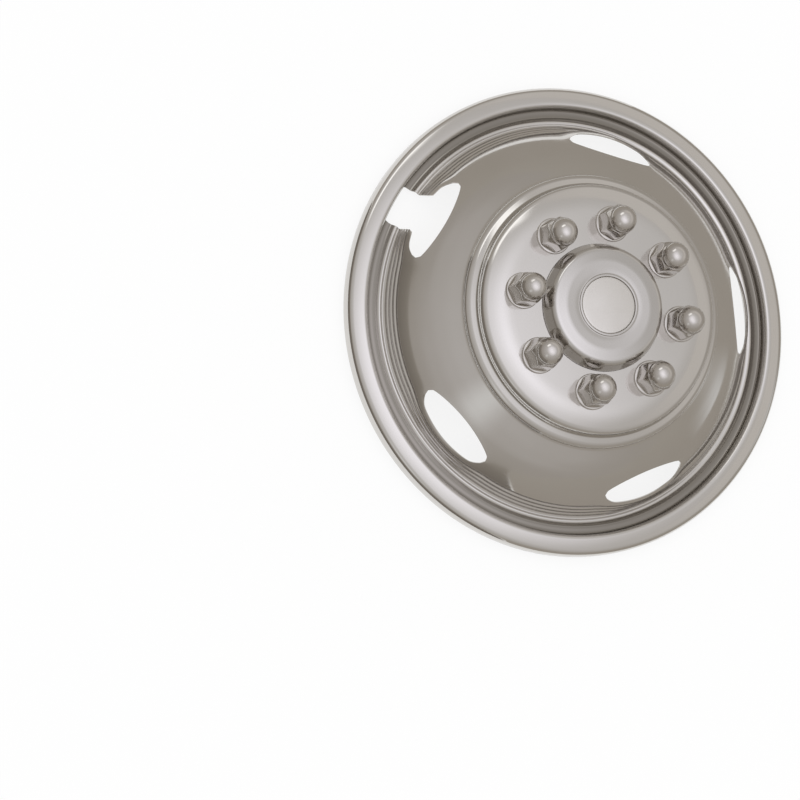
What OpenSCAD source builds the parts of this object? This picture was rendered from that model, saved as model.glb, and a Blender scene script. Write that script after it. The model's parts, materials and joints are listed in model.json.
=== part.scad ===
// Wheel simulator: a pressed stainless liner for a truck wheel, with hub cover and lug covers.
// It lies face up on the turned-in edge of its rim. The wheel axis is Z and the face looks to +Z.
// The valve slot points to +Y.

/* [Rim] */
// Outer diameter over the rim skirt
rim_d = 460; // [450:1:480]
// Thickness of the pressed liner sheet
sheet_t = 1.2; // [1:0.1:1.4]
// Width of the edge that is turned in under the skirt
hem_w = 5; // [3.5:0.5:6]
// Rounding between the skirt and the lip
lip_round = 7; // [5:0.5:8]
// Fall of the lip from its crest to its outer corner
lip_fall = 3.5; // [2.5:0.5:4.5]
// Width of the lip, from the skirt to the top of its inner wall
lip_w = 15.3; // [13:0.1:18]
// Height of the crest of the lip above the floor
lip_h = 16; // [15:0.5:18]
// Width of the groove between the lip and the ridge
groove_w = 11; // [9:0.5:12]
// Height of the groove's bottom above the floor
groove_h = 3.5; // [3:0.5:5]
// Height of the ridge bead above the floor
ridge_h = 8.5; // [8:0.5:10]

/* [Steps] */
// Number of steps between the ridge and the dish
step_count = 4; // [3:1:5]
// Height of the sheet between the ridge and the steps
step_base_h = 6.5; // [6:0.5:7.5]
// Height of the dish's foot, at the top of the steps
foot_h = 21; // [19.5:0.5:23]
// Diameter of the dish's foot
foot_d = 366; // [364:0.2:369]
// Width of the land round a hand hole, inside the first step
land_w = 3; // [2.4:0.1:3.6]

/* [Dish and disc] */
// Diameter where the dish meets the shoulder
shoulder_d = 265.6; // [262:0.2:270]
// Height where the dish meets the shoulder
shoulder_h = 64; // [61:0.5:67]
// Crown of the dish over a straight cone
dish_crown = 3; // [1:0.5:4]
// Height of the lower roll of the shoulder
lower_roll_h = 8.5; // [7:0.5:10]
// Width of the lower roll of the shoulder
lower_roll_w = 8; // [7:0.5:9]
// Diameter of the upper roll of the shoulder
disc_d = 246; // [243:0.5:249]
// Width over which the disc curves down to the upper roll
disc_edge_w = 20; // [16:0.5:21]
// Height of the disc's flat face above the floor
disc_h = 88.5; // [86:0.1:91]
// Drop of the disc from its flat face to the upper roll
disc_drop = 5.5; // [4.5:0.5:7]

/* [Hand holes and valve slot] */
// Number of hand holes
hand_count = 5; // [5:1:5]
// Radius of a hand hole's inner edge, at its middle
hand_in = 162.8; // [161:0.2:164]
// Radius of a hand hole's outer edge, at its middle
hand_out = 185; // [184:0.2:186]
// Half the length of a hand hole
hand_half_l = 46.8; // [45:0.2:48]
// Corner radius at the ends of a hand hole
hand_corner = 5; // [4:0.2:5]
// Angle from a hand hole's middle to where the swell round it ends
swell_angle = 16; // [15.5:0.1:17]
// Width of the valve slot
slot_w = 40; // [36:0.5:44]
// Corner radius at the valve slot's outer end
slot_corner = 4; // [3:0.5:5]
// Distance from the slot's outer end to the lip's inner wall
slot_margin = 1.5; // [1.2:0.1:3]

/* [Lug covers] */
// Number of lug covers
lug_count = 8; // [8:1:8]
// Diameter of the circle that the wheel nuts stand on
lug_pcd = 165.1; // [163:0.1:168]
// Bore of a lug cover, which goes over the wheel nut
lug_bore_d = 24; // [23:0.1:24.2]
// Wall of the lug cover's collar
lug_wall = 1; // [0.8:0.1:1.2]
// Size of the lug cover's hexagon across its flats
lug_hex = 28.4; // [27.6:0.1:29]
// Height above the disc where the chamfer meets the hexagon's corners
lug_hex_h = 20.5; // [19:0.5:22]
// Height above the disc where the dome starts
lug_dome_h = 25.5; // [24.5:0.5:26]
// Diameter of the dome
lug_dome_d = 25.8; // [25.6:0.1:26.4]
// Height of the lug cover's dome above the disc
lug_top_h = 38; // [36:0.5:41]
// Diameter of the flange at the foot of a lug cover
lug_flange_d = 35; // [34:0.5:36]
// Thickness of the flange
lug_flange_t = 2.4; // [2:0.1:3]
// Turn of each hexagon, in order round the disc
lug_turns = [12, 26, 4, 18, 40, 8, 33, 21]; // [0:1:59]
// Clearance of the collar in its hole
collar_fit = 0.3; // [0.2:0.05:0.4]

/* [Retaining rings] */
// Outer diameter of a retaining ring
ring_d = 32; // [31:0.5:33]
// Thickness of the ring's spring steel
ring_t = 0.8; // [0.6:0.1:1]
// Clearance between the ring's teeth and the collar
ring_fit = 0.1; // [0.05:0.05:0.2]
// Number of teeth in a ring
ring_teeth = 8; // [6:1:8]
// Depth of the gaps between the teeth
ring_gap = 1.8; // [1.2:0.1:2]
// Drop of the teeth from the ring's flat
ring_dish = 0.7; // [0.4:0.1:1]

/* [Hub cover] */
// Diameter of the hub cover where it leaves the disc
hub_d = 123; // [121:0.2:125]
// Thickness of the hub cover's sheet
hub_t = 0.8; // [0.7:0.1:0.9]
// Rounding at the top of the hub cover's wall
hub_round = 5; // [4:0.5:6]
// Height of the hub cover's shoulder above the disc
hub_wall_h = 15; // [14:0.5:16]
// How far the hub cover's wall leans in up to its shoulder
hub_lean = 5; // [4:0.2:6]
// Height of the crown between the shoulder and the bead, above the disc
hub_crown_h = 17.6; // [17:0.1:18.4]
// Height of the bead ring's foot above the disc
hub_top_h = 16; // [15.4:0.1:16.4]
// Width of the flange behind the disc
hub_flange_w = 3; // [2.5:0.1:3.4]
// Clearance of the hub cover in the disc's opening
hub_fit = 0.3; // [0.2:0.05:0.4]
// Outer diameter of the bead round the centre plate
bead_d = 60.4; // [59:0.2:63]
// Width of the bead
bead_w = 3.4; // [3.2:0.1:4]
// Height of the bead over the hub cover's top
bead_h = 1.3; // [1.3:0.1:1.5]
// Depth of the recess inside the bead, below the bead's foot
recess_h = 1; // [0.6:0.1:1.2]

/* [Centre plate] */
// Thickness of the plain centre plate
plate_t = 1.2; // [1:0.1:1.5]
// Clearance of the plate inside the bead
plate_fit = 0.3; // [0.2:0.05:0.5]
// Crown of the plate's face
plate_crown = 0.9; // [0.5:0.1:1.2]

/* [Hidden] */
$fn = 96;

rim_r = rim_d / 2;
foot_r = foot_d / 2;
shoulder_r = shoulder_d / 2;
disc_r = disc_d / 2;
hub_r = hub_d / 2;
opening_r = hub_r + hub_fit;
collar_r = lug_bore_d / 2 + lug_wall;
lug_hole_r = collar_r + collar_fit;
disc_back = disc_h - sheet_t;
crest_r = rim_r - lip_w;
// Rounding at the top of the lip's inner wall and at its foot, and how far the wall leans out
wall_round = 5;
wall_foot_round = 3;
wall_lean = 1;
// Rounding of the ridge bead and of its foot
ridge_round = 2.6;
ridge_foot_round = 1;
// Rounding of the groove's bottom, and the share of its width that its slope takes
groove_round = 5;
groove_slope = 0.4;
wall_r = crest_r - wall_round;
ridge_r = wall_r - groove_w - ridge_round;
step_rise = (foot_h - step_base_h) / step_count;
// Radius of the flat at the foot of the steps, where the ridge starts
base_r = ridge_r - ridge_round - ridge_foot_round;
step_run = (base_r - foot_r) / step_count;
// Width of each step where it passes a hand hole
step_squeeze = (base_r - hand_out - land_w) / step_count;
// The dish's foot swells round each hand hole, in an arc through these two places.
swell_out = hand_out + land_w;
swell_gap = swell_out - foot_r * cos(swell_angle);
swell_r = (pow(swell_gap, 2) + pow(foot_r * sin(swell_angle), 2)) / (2 * swell_gap);
swell_x = swell_out - swell_r;
slot_end = wall_r - slot_margin;
// How far out a hand hole's inner edge runs from its middle to its ends, the width of the blunt
// ends and their slant
hand_rise = 3.8;
hand_end_w = 8.6;
hand_end_slant = 1.8;
// Where the outer edge bends: its share of the half length and its distance inside the middle's
// radius; and the roundings of the outer edge there and at its middle
hand_bend_share = 0.62;
hand_bend_drop = 3.1;
hand_bend_round = 60;
hand_out_round = 140;
// Radius of the disc's curve towards the upper roll, for each millimetre of its width
disc_bend_share = 2.4;
disc_bend = disc_edge_w * disc_bend_share;
// Rounding of both rolls of the shoulder, and how far in and how far down their tops begin
roll_round = 5;
roll_in = 3;
roll_drop = 4;
// Rounding of the waist between the rolls, and the fall of the ledge outside it
waist_round = 1.5;
ledge_fall = 1;
// Radius of the dish's crown, and the crown's share across and up at its middle
dish_bend = 60;
dish_crown_share = 0.7;
// Rounding of a lug cover's flange, as a share of its thickness
flange_round_share = 0.6;
// Rounding of a dome, as a share of its radius
dome_share = 0.97;
// Length of a lug cover's collar below its retaining ring
collar_below = 1;
// Rounding of the bead's crest, which leaves its inner face just round, and of the bead's foot
bead_round = hub_t + 0.1;
bead_foot_round = 0.3;
// Height above the disc at which the hub cover's wall starts to lean in, and the crown's radius
hub_foot_h = 2;
hub_crown_r = 40;
// The crown's radius is limited to this many times the room between its middle and the shoulder.
hub_crown_share = 5;
// Number of bands in the centre plate's crown
crown_steps = 6;
// The largest turn of a curve between two points of a profile, in degrees
arc_step = 15;
// Depth to which the dish's foot runs into the sheet of the steps, inside its thickness
seam = sheet_t / 2;
// Extra length that lets a cutting tool pass a face
past = 1;

// Directions and rounded lines for the profiles
function unit(v) = v / norm(v);
function angle_of(v) = atan2(v[1], v[0]);
function turn_between(a, b) = (b - a + 540) % 360 - 180;

// The points of a round corner at p, between the directions to its neighbours
function corner(before, p, after, r) =
    let (
        a = unit(before - p),
        b = unit(after - p),
        half = acos(a * b) / 2,
        centre = p + unit(a + b) * r / sin(half),
        from = p + a * r / tan(half) - centre,
        to = p + b * r / tan(half) - centre,
        turn = turn_between(angle_of(from), angle_of(to)),
        count = max(2, ceil(abs(turn) / arc_step))
    )
    [for (i = [0:count]) centre + r * [
        cos(angle_of(from) + turn * i / count),
        sin(angle_of(from) + turn * i / count)
    ]];

// A line through points [radius, height, rounding], with each corner rounded
function rounded(line) =
    let (last = len(line) - 1, at = [for (p = line) [p[0], p[1]]])
    [for (i = [0:last]) each
        i == 0 || i == last || line[i][2] == 0
            ? [at[i]]
            : corner(at[i - 1], at[i], at[i + 1], line[i][2])];

// The same line moved sideways by d, to the right of its direction for a positive d
function shifted(line, d) =
    let (last = len(line) - 1)
    [for (i = [0:last])
        let (
            a = unit(line[max(i, 1)] - line[max(i, 1) - 1]),
            b = unit(line[min(i, last - 1) + 1] - line[min(i, last - 1)]),
            na = [a[1], -a[0]],
            nb = [b[1], -b[0]]
        )
        line[i] + d * (na + nb) / (1 + na * nb)];

// A closed section of a sheet whose outer face is the line
function sheet_section(line, t) =
    let (inner = shifted(line, t), last = len(line) - 1)
    concat(line, [for (i = [0:last]) inner[last - i]]);

module revolved(points) {
    rotate_extrude($fn = 180) polygon(points);
}

// The outer face of the disc, shoulder and dish, from the opening out to the dish's foot
dish_mid = [
    (shoulder_r + foot_r) / 2 + dish_crown * dish_crown_share,
    (shoulder_h + foot_h) / 2 + dish_crown * dish_crown_share
];
ledge_h = shoulder_h + lower_roll_h;
dish_line = rounded([
    [opening_r, disc_h, 0],
    [disc_r - disc_edge_w, disc_h, disc_bend],
    [disc_r - roll_in, disc_h - disc_drop, roll_round],
    [disc_r, ledge_h, waist_round],
    [shoulder_r - lower_roll_w + roll_in, ledge_h - ledge_fall, 0],
    [shoulder_r, ledge_h - roll_drop, roll_round],
    [shoulder_r, shoulder_h, 0],
    [dish_mid[0], dish_mid[1], dish_bend],
    [foot_r - seam, foot_h - seam, 0]
]);

// The outer face of the rim, from the last step out to the turned-in edge
rim_line = rounded([
    [base_r, step_base_h, 0],
    [ridge_r - ridge_round, step_base_h, ridge_foot_round],
    [ridge_r, ridge_h, ridge_round],
    [ridge_r + groove_w * groove_slope, groove_h, groove_round],
    [wall_r - wall_lean, groove_h, wall_foot_round],
    [wall_r, lip_h, wall_round],
    [rim_r, lip_h - lip_fall, lip_round],
    [rim_r, 0, 0],
    [rim_r - hem_w, 0, 0]
]);

// The outline of a hand hole, centred on +X: both long edges bulge a little, the inner one
// towards the wheel's centre, and the ends are blunt
hand_half = [
    [hand_in + hand_rise, hand_half_l, hand_corner],
    [hand_in + hand_rise + hand_end_w, hand_half_l - hand_end_slant, hand_corner],
    [hand_out - hand_bend_drop, hand_half_l * hand_bend_share, hand_bend_round]
];
hand_line = rounded(concat(
    [[hand_in, past, 0]],
    hand_half,
    [[hand_out, 0, hand_out_round]],
    [for (k = [2:-1:0]) [hand_half[k][0], -hand_half[k][1], hand_half[k][2]]],
    [[hand_in, -past, 0]]
));

// Places its child at each hand hole, with the valve slot's hand hole first, at +Y
module at_hands() {
    for (i = [0:hand_count - 1]) rotate(90 + i * 360 / hand_count) children();
}

// The outline of a step: a circle that swells round each hand hole
module step_outline(index, shrink) {
    circle(r = foot_r + index * step_run - shrink, $fn = 180);
    at_hands()
        translate([swell_x, 0])
            circle(r = swell_r + index * step_squeeze - shrink, $fn = 180);
}

// The stairs of flat steps, as a stack that is larger towards the floor
module step_stack(shrink, drop) {
    base = step_base_h - sheet_t - drop;
    for (i = [0:step_count - 1])
        translate([0, 0, base])
            linear_extrude(foot_h - i * step_rise - drop - base)
                step_outline(i, shrink);
}

module steps_sheet() {
    difference() {
        union() {
            step_stack(0, 0);
            translate([0, 0, step_base_h - sheet_t])
                cylinder(r = base_r, h = sheet_t, $fn = 180);
        }
        step_stack(sheet_t, sheet_t);
        translate([0, 0, step_base_h])
            cylinder(r = foot_r - sheet_t, h = foot_h, $fn = 180);
    }
}

// The outline of the valve slot, which opens into the hand hole at +Y
slot_start = (hand_in + hand_out) / 2;
slot_line = rounded([
    [-slot_w / 2, slot_start, 0],
    [-slot_w / 2, slot_end, slot_corner],
    [slot_w / 2, slot_end, slot_corner],
    [slot_w / 2, slot_start, 0]
]);

// Places its child at each wheel nut, turned to the nut's direction
function lug_angle(i) = (i + 0.5) * 360 / lug_count;
module at_lug(i) {
    rotate(lug_angle(i)) translate([lug_pcd / 2, 0]) children();
}

module wheel_liner() {
    color([0.66, 0.64, 0.61])
    difference() {
        union() {
            revolved(sheet_section(dish_line, sheet_t));
            steps_sheet();
            revolved(sheet_section(rim_line, sheet_t));
        }
        translate([0, 0, -past])
            linear_extrude(shoulder_h) {
                at_hands() polygon(hand_line);
                polygon(slot_line);
            }
        for (i = [0:lug_count - 1])
            at_lug(i)
                translate([0, 0, disc_back - past])
                    cylinder(r = lug_hole_r, h = sheet_t + 2 * past);
    }
}

// The outer face of the hub cover, from the recess out to the flange behind the disc
bead_r = bead_d / 2;
hub_crown_half = (hub_r - hub_lean - bead_r) / 2;
hub_line = rounded([
    [0, disc_h + hub_top_h - recess_h, 0],
    [bead_r - bead_w, disc_h + hub_top_h - recess_h, 0],
    [bead_r - bead_w, disc_h + hub_top_h + bead_h, bead_round],
    [bead_r, disc_h + hub_top_h + bead_h, bead_round],
    [bead_r, disc_h + hub_top_h, bead_foot_round],
    [
        bead_r + hub_crown_half,
        disc_h + hub_crown_h,
        min(hub_crown_r, (hub_crown_half - hub_round) * hub_crown_share)
    ],
    [hub_r - hub_lean, disc_h + hub_wall_h, hub_round],
    [hub_r, disc_h + hub_foot_h, 0],
    [hub_r, disc_back, 0],
    [hub_r + hub_flange_w, disc_back, 0]
]);

module hub_cover() {
    color([0.7, 0.69, 0.66])
    revolved(sheet_section(hub_line, hub_t));
}

// A plain plate with a slightly crowned face, seated in the hub cover's recess
module centre_plate() {
    plate_r = bead_r - bead_w - plate_fit;
    seat = disc_h + hub_top_h - recess_h;
    face = [for (k = [0:crown_steps]) let (share = k / crown_steps)
        [plate_r * share, seat + plate_t + plate_crown * (1 - share * share)]];
    color([0.72, 0.72, 0.69])
    revolved(concat([[plate_r, seat], [0, seat]], face));
}

// A hollow cover for one wheel nut: round collar, flange, hexagon and dome
module lug_cover(i) {
    hex_r = lug_hex / 2 / cos(30);
    dome_r = lug_dome_d / 2;
    bore_r = lug_bore_d / 2;
    top = disc_h + lug_top_h;
    // The chamfer's fall for each millimetre out from the dome to the hexagon's corners
    chamfer_slope = (lug_dome_h - lug_hex_h) / (hex_r - dome_r);
    collar_foot = disc_back - ring_t - ring_dish - collar_below;
    color([0.78, 0.78, 0.77])
    at_lug(i)
    difference() {
        union() {
            translate([0, 0, disc_h]) revolved(rounded([
                [0, 0, 0],
                [lug_flange_d / 2, 0, 0],
                [lug_flange_d / 2, lug_flange_t, lug_flange_t * flange_round_share],
                [0, lug_flange_t, 0]
            ]));
            intersection() {
                translate([0, 0, disc_h])
                    rotate(lug_turns[i]) cylinder(r = hex_r, h = lug_top_h, $fn = 6);
                translate([0, 0, disc_h]) revolved(rounded([
                    [0, 0, 0],
                    [hex_r + past, 0, 0],
                    [hex_r + past, lug_hex_h - chamfer_slope * past, 0],
                    [dome_r, lug_dome_h, 0],
                    [dome_r, lug_top_h, dome_r * dome_share],
                    [0, lug_top_h, 0]
                ]));
            }
            translate([0, 0, collar_foot])
                cylinder(r = collar_r, h = disc_h - collar_foot + lug_flange_t);
        }
        translate([0, 0, collar_foot - past])
            cylinder(r = bore_r, h = top - lug_wall - bore_r - collar_foot + past);
        translate([0, 0, top - lug_wall - bore_r]) sphere(r = bore_r);
    }
}

// A spring-steel ring with teeth that grip the collar behind the disc
module retaining_ring(i) {
    tooth_r = collar_r + ring_fit;
    flat_r = tooth_r + ring_gap;
    color([0.45, 0.45, 0.44])
    at_lug(i)
    difference() {
        revolved([
            [tooth_r, disc_back - ring_dish],
            [flat_r, disc_back],
            [ring_d / 2, disc_back],
            [ring_d / 2, disc_back - ring_t],
            [flat_r, disc_back - ring_t],
            [tooth_r, disc_back - ring_t - ring_dish]
        ]);
        for (k = [0:ring_teeth - 1])
            rotate((k + 0.5) * 360 / ring_teeth)
                translate([tooth_r - past, -ring_gap / 2, disc_back - ring_t - ring_dish - past])
                    cube([ring_gap + past, ring_gap, ring_t + ring_dish + 2 * past]);
    }
}

wheel_liner();
hub_cover();
centre_plate();
lug_cover(0);  // lug_cover_1
lug_cover(1);  // lug_cover_2
lug_cover(2);  // lug_cover_3
lug_cover(3);  // lug_cover_4
lug_cover(4);  // lug_cover_5
lug_cover(5);  // lug_cover_6
lug_cover(6);  // lug_cover_7
lug_cover(7);  // lug_cover_8
retaining_ring(0);  // retaining_ring_1
retaining_ring(1);  // retaining_ring_2
retaining_ring(2);  // retaining_ring_3
retaining_ring(3);  // retaining_ring_4
retaining_ring(4);  // retaining_ring_5
retaining_ring(5);  // retaining_ring_6
retaining_ring(6);  // retaining_ring_7
retaining_ring(7);  // retaining_ring_8
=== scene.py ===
"""Truck wheel simulator: its finishes, pressed surfaces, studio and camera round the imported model.

Sizes in the classes are in millimetres in the model's own frame: the face looks to +Z, the valve
slot points to +Y, and the part lies on z = 0. Blender's meshes are in metres.
"""
from __future__ import annotations

import json
import logging
import math
from dataclasses import dataclass
from enum import Enum
from functools import cached_property
from typing import Callable, Sequence

import bpy
import numpy as np
from mathutils import Matrix, Vector

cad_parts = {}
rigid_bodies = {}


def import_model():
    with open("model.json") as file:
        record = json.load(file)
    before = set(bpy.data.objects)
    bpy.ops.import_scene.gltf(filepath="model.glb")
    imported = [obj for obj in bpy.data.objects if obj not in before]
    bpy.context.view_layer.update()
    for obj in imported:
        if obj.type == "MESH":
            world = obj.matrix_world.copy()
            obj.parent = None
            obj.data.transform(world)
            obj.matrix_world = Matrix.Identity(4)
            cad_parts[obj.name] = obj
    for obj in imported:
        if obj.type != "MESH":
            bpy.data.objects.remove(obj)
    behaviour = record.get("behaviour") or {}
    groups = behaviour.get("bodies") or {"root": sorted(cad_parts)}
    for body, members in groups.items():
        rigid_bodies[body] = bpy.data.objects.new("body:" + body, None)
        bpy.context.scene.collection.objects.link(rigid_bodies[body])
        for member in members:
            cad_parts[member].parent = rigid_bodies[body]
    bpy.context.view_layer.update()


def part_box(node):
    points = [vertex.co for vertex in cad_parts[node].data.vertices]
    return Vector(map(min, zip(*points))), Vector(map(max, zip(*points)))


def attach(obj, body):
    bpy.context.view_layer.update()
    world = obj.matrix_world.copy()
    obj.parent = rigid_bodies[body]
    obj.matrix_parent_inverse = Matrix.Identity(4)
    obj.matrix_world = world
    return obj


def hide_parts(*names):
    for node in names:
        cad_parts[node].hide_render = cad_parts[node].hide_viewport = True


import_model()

LOG = logging.getLogger("wheel_simulator")
MM = 0.001
Array = np.ndarray
# The wall modifier's offset for a wall that grows behind the modelled face
BEHIND = -1.0


class Sum(Enum):
    """What one maths node works out."""

    LESS = "SUBTRACT"
    TIMES = "MULTIPLY"
    SIZE = "ABSOLUTE"
    LARGER = "MAXIMUM"


# Numbers and curves

def srgb(code: str) -> tuple[float, float, float, float]:
    """Turns an sRGB hex colour into Blender's linear colour.

    Args:
        code: six hex digits after a hash sign.

    Returns:
        Linear red, green and blue, and an alpha of 1.
    """
    parts = [int(code[i:i + 2], 16) / 255 for i in (1, 3, 5)]
    lin = [c / 12.92 if c <= 0.04045 else ((c + 0.055) / 1.055) ** 2.4 for c in parts]
    return (lin[0], lin[1], lin[2], 1.0)


def full_turn(cols: int) -> Array:
    """Evenly spaced angles all round, anticlockwise from +X.

    Args:
        cols: how many.

    Returns:
        The angles in radians.
    """
    return np.arange(cols) * 2 * np.pi / cols


def around(r: Array, ang: Array, z: Array) -> Array:
    """Points at distances from the axis, angles round it and heights.

    Args:
        r: the distances.
        ang: the angles in radians.
        z: the heights.

    Returns:
        n by 3 points, row by row.
    """
    return np.stack([r * np.cos(ang), r * np.sin(ang), z + 0 * ang], axis=-1).reshape(-1, 3)


def soft_min(a: Array, b: Array, k: float) -> Array:
    """The smaller of two lengths with the corner between them rounded over about k.

    Args:
        a: first length.
        b: second length.
        k: width of the rounding.

    Returns:
        min(a, b) less k/4 times the square of how far the two are within k of each other.
    """
    h = np.clip(1.0 - np.abs(a - b) / k, 0.0, 1.0)
    return np.minimum(a, b) - h * h * k / 4.0


def rounded_line(points: Sequence[tuple[float, float, float]], step: float = 6.0) -> Array:
    """A line through points whose corners are arcs of their own radius.

    Each corner's arc touches both of its straight sides: its centre lies on the bisector at
    radius / sin(half the angle).

    Args:
        points: radius, height and corner radius of each point.
        step: the most degrees between two points of an arc.

    Returns:
        The line's points as an n by 2 array.
    """
    out = [np.array(points[0][:2])]
    for before, here, after in zip(points, points[1:], points[2:]):
        p, r = np.array(here[:2]), here[2]
        if r == 0:
            out.append(p)
            continue
        a = np.array(before[:2]) - p
        b = np.array(after[:2]) - p
        a, b = a / np.linalg.norm(a), b / np.linalg.norm(b)
        half = math.acos(float(np.clip(a @ b, -1, 1))) / 2
        bisector = (a + b) / np.linalg.norm(a + b)
        centre = p + bisector * r / math.sin(half)
        start = p + a * r / math.tan(half) - centre
        end = p + b * r / math.tan(half) - centre
        a0 = math.atan2(start[1], start[0])
        turn = (math.atan2(end[1], end[0]) - a0 + 3 * math.pi) % (2 * math.pi) - math.pi
        count = max(2, math.ceil(abs(math.degrees(turn)) / step))
        ang = a0 + turn * np.linspace(0, 1, count + 1)
        out.extend(centre + r * np.stack([np.cos(ang), np.sin(ang)], axis=-1))
    out.append(np.array(points[-1][:2]))
    return np.array(out)


def spread(line: Array, rows: int, bend_weight: float = 9.0) -> Array:
    """Puts rows along a line, closer together where it bends.

    The rows are evenly spaced in length plus bend_weight millimetres for each radian of turn.

    Args:
        line: the line's points.
        rows: how many points to return.
        bend_weight: how much a bend draws the rows together.

    Returns:
        A rows by 2 array along the same line.
    """
    gaps = np.linalg.norm(np.diff(line, axis=0), axis=1)
    way = np.arctan2(np.diff(line[:, 1]), np.diff(line[:, 0]))
    turn = np.abs((np.diff(way) + np.pi) % (2 * np.pi) - np.pi)
    bend = np.zeros(len(line))
    bend[1:-1] = turn
    cost = gaps + bend_weight * (bend[1:] + bend[:-1]) / 2
    at = np.concatenate([[0], np.cumsum(cost)])
    want = np.linspace(0, at[-1], rows)
    return np.stack([np.interp(want, at, line[:, 0]), np.interp(want, at, line[:, 1])], axis=-1)


# Meshes

def add_mesh(name: str, verts: Array, faces: Sequence[Array], material: bpy.types.Material) -> bpy.types.Object:
    """Makes an object at the origin from points in millimetres.

    Args:
        name: the piece's name.
        verts: n by 3 points in millimetres.
        faces: arrays of corner indices, one array for each number of corners.
        material: the piece's finish.

    Returns:
        The new object, smooth shaded and riding on the body.
    """
    mesh = bpy.data.meshes.new(name)
    listed = [row for block in faces for row in block.tolist()]
    mesh.from_pydata((verts * MM).tolist(), [], listed)
    mesh.validate()
    mesh.polygons.foreach_set("use_smooth", np.ones(len(mesh.polygons), dtype=bool))
    mesh.update()
    piece = bpy.data.objects.new(name, mesh)
    bpy.context.scene.collection.objects.link(piece)
    piece.data.materials.append(material)
    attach(piece, "root")
    return piece


def thicken(piece: bpy.types.Object, wall: float) -> None:
    """Gives a surface its sheet thickness, behind the modelled face.

    Args:
        piece: the surface.
        wall: thickness in millimetres.
    """
    mod = piece.modifiers.new("wall", "SOLIDIFY")
    mod.thickness = wall * MM
    mod.offset = BEHIND
    mod.use_even_offset = True
    mod.use_quality_normals = True


def crisp(piece: bpy.types.Object, degrees: float) -> None:
    """Shades edges sharper than an angle, and the surface's open edges, as sharp ones.

    Args:
        piece: the piece.
        degrees: the angle.
    """
    mesh = piece.data
    mesh.set_sharp_from_angle(angle=math.radians(degrees))
    used = np.zeros(len(mesh.loops), dtype=np.int32)
    mesh.loops.foreach_get("edge_index", used)
    sharp = np.zeros(len(mesh.edges), dtype=bool)
    mesh.edges.foreach_get("use_edge_sharp", sharp)
    lone = np.bincount(used, minlength=len(mesh.edges)) == 1
    mesh.edges.foreach_set("use_edge_sharp", sharp | lone)


def ring_faces(rows: int, cols: int) -> Array:
    """Four-cornered faces of a grid whose columns close on themselves.

    Args:
        rows: number of rows of points, from the middle outwards.
        cols: number of points in a row, anticlockwise.

    Returns:
        Corner indices, wound so that an outward row of lower height faces up.
    """
    i, j = np.meshgrid(np.arange(rows - 1), np.arange(cols), indexing="ij")
    k = (j + 1) % cols
    return np.stack([i * cols + j, (i + 1) * cols + j, (i + 1) * cols + k, i * cols + k],
                    axis=-1).reshape(-1, 4)


def capped(verts: Array, cols: int, first: Sequence[float],
           last: Sequence[float] | None = None) -> tuple[Array, list[Array]]:
    """Closes the first row of a grid with one point and a fan, and the last row if asked.

    Args:
        verts: the grid's points, row by row.
        cols: number of points in a row.
        first: the point that closes the first row.
        last: the point that closes the last row, if anything does.

    Returns:
        The points with the closing points last, and the faces.
    """
    total = len(verts)
    j = np.arange(cols)
    after = (j + 1) % cols
    faces = [ring_faces(total // cols, cols),
             np.stack([np.full(cols, total), j, after], axis=-1)]
    if last is None:
        return np.vstack([verts, first]), faces
    start = total - cols
    faces.append(np.stack([np.full(cols, total + 1), start + after, start + j], axis=-1))
    return np.vstack([verts, first, last]), faces


def stage_piece(name: str, verts: Array, faces: Array,
                material: bpy.types.Material) -> bpy.types.Object:
    """Makes a piece of the studio, which isn't part of the object.

    Args:
        name: its name.
        verts: its points in metres.
        faces: its faces' corner indices.
        material: what it is covered with.

    Returns:
        The new object.
    """
    mesh = bpy.data.meshes.new(name)
    mesh.from_pydata(verts.tolist(), [], faces.tolist())
    piece = bpy.data.objects.new(name, mesh)
    piece.data.materials.append(material)
    bpy.context.scene.collection.objects.link(piece)
    return piece


# The corners of a cell, in order, and for each pattern of kept corners the points that its
# kept part has: 0 to 3 are corners, 4 to 7 are the crossings on the sides that follow them.
CELL_CUTS: dict[int, tuple[int, ...]] = {
    1: (0, 4, 7), 2: (1, 5, 4), 3: (0, 1, 5, 7), 4: (2, 6, 5), 6: (1, 2, 6, 4),
    7: (0, 1, 2, 6, 7), 8: (3, 7, 6), 9: (0, 4, 6, 3), 11: (0, 1, 5, 6, 3),
    12: (2, 3, 7, 5), 13: (0, 4, 5, 2, 3), 14: (1, 2, 3, 7, 4),
}


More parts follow.
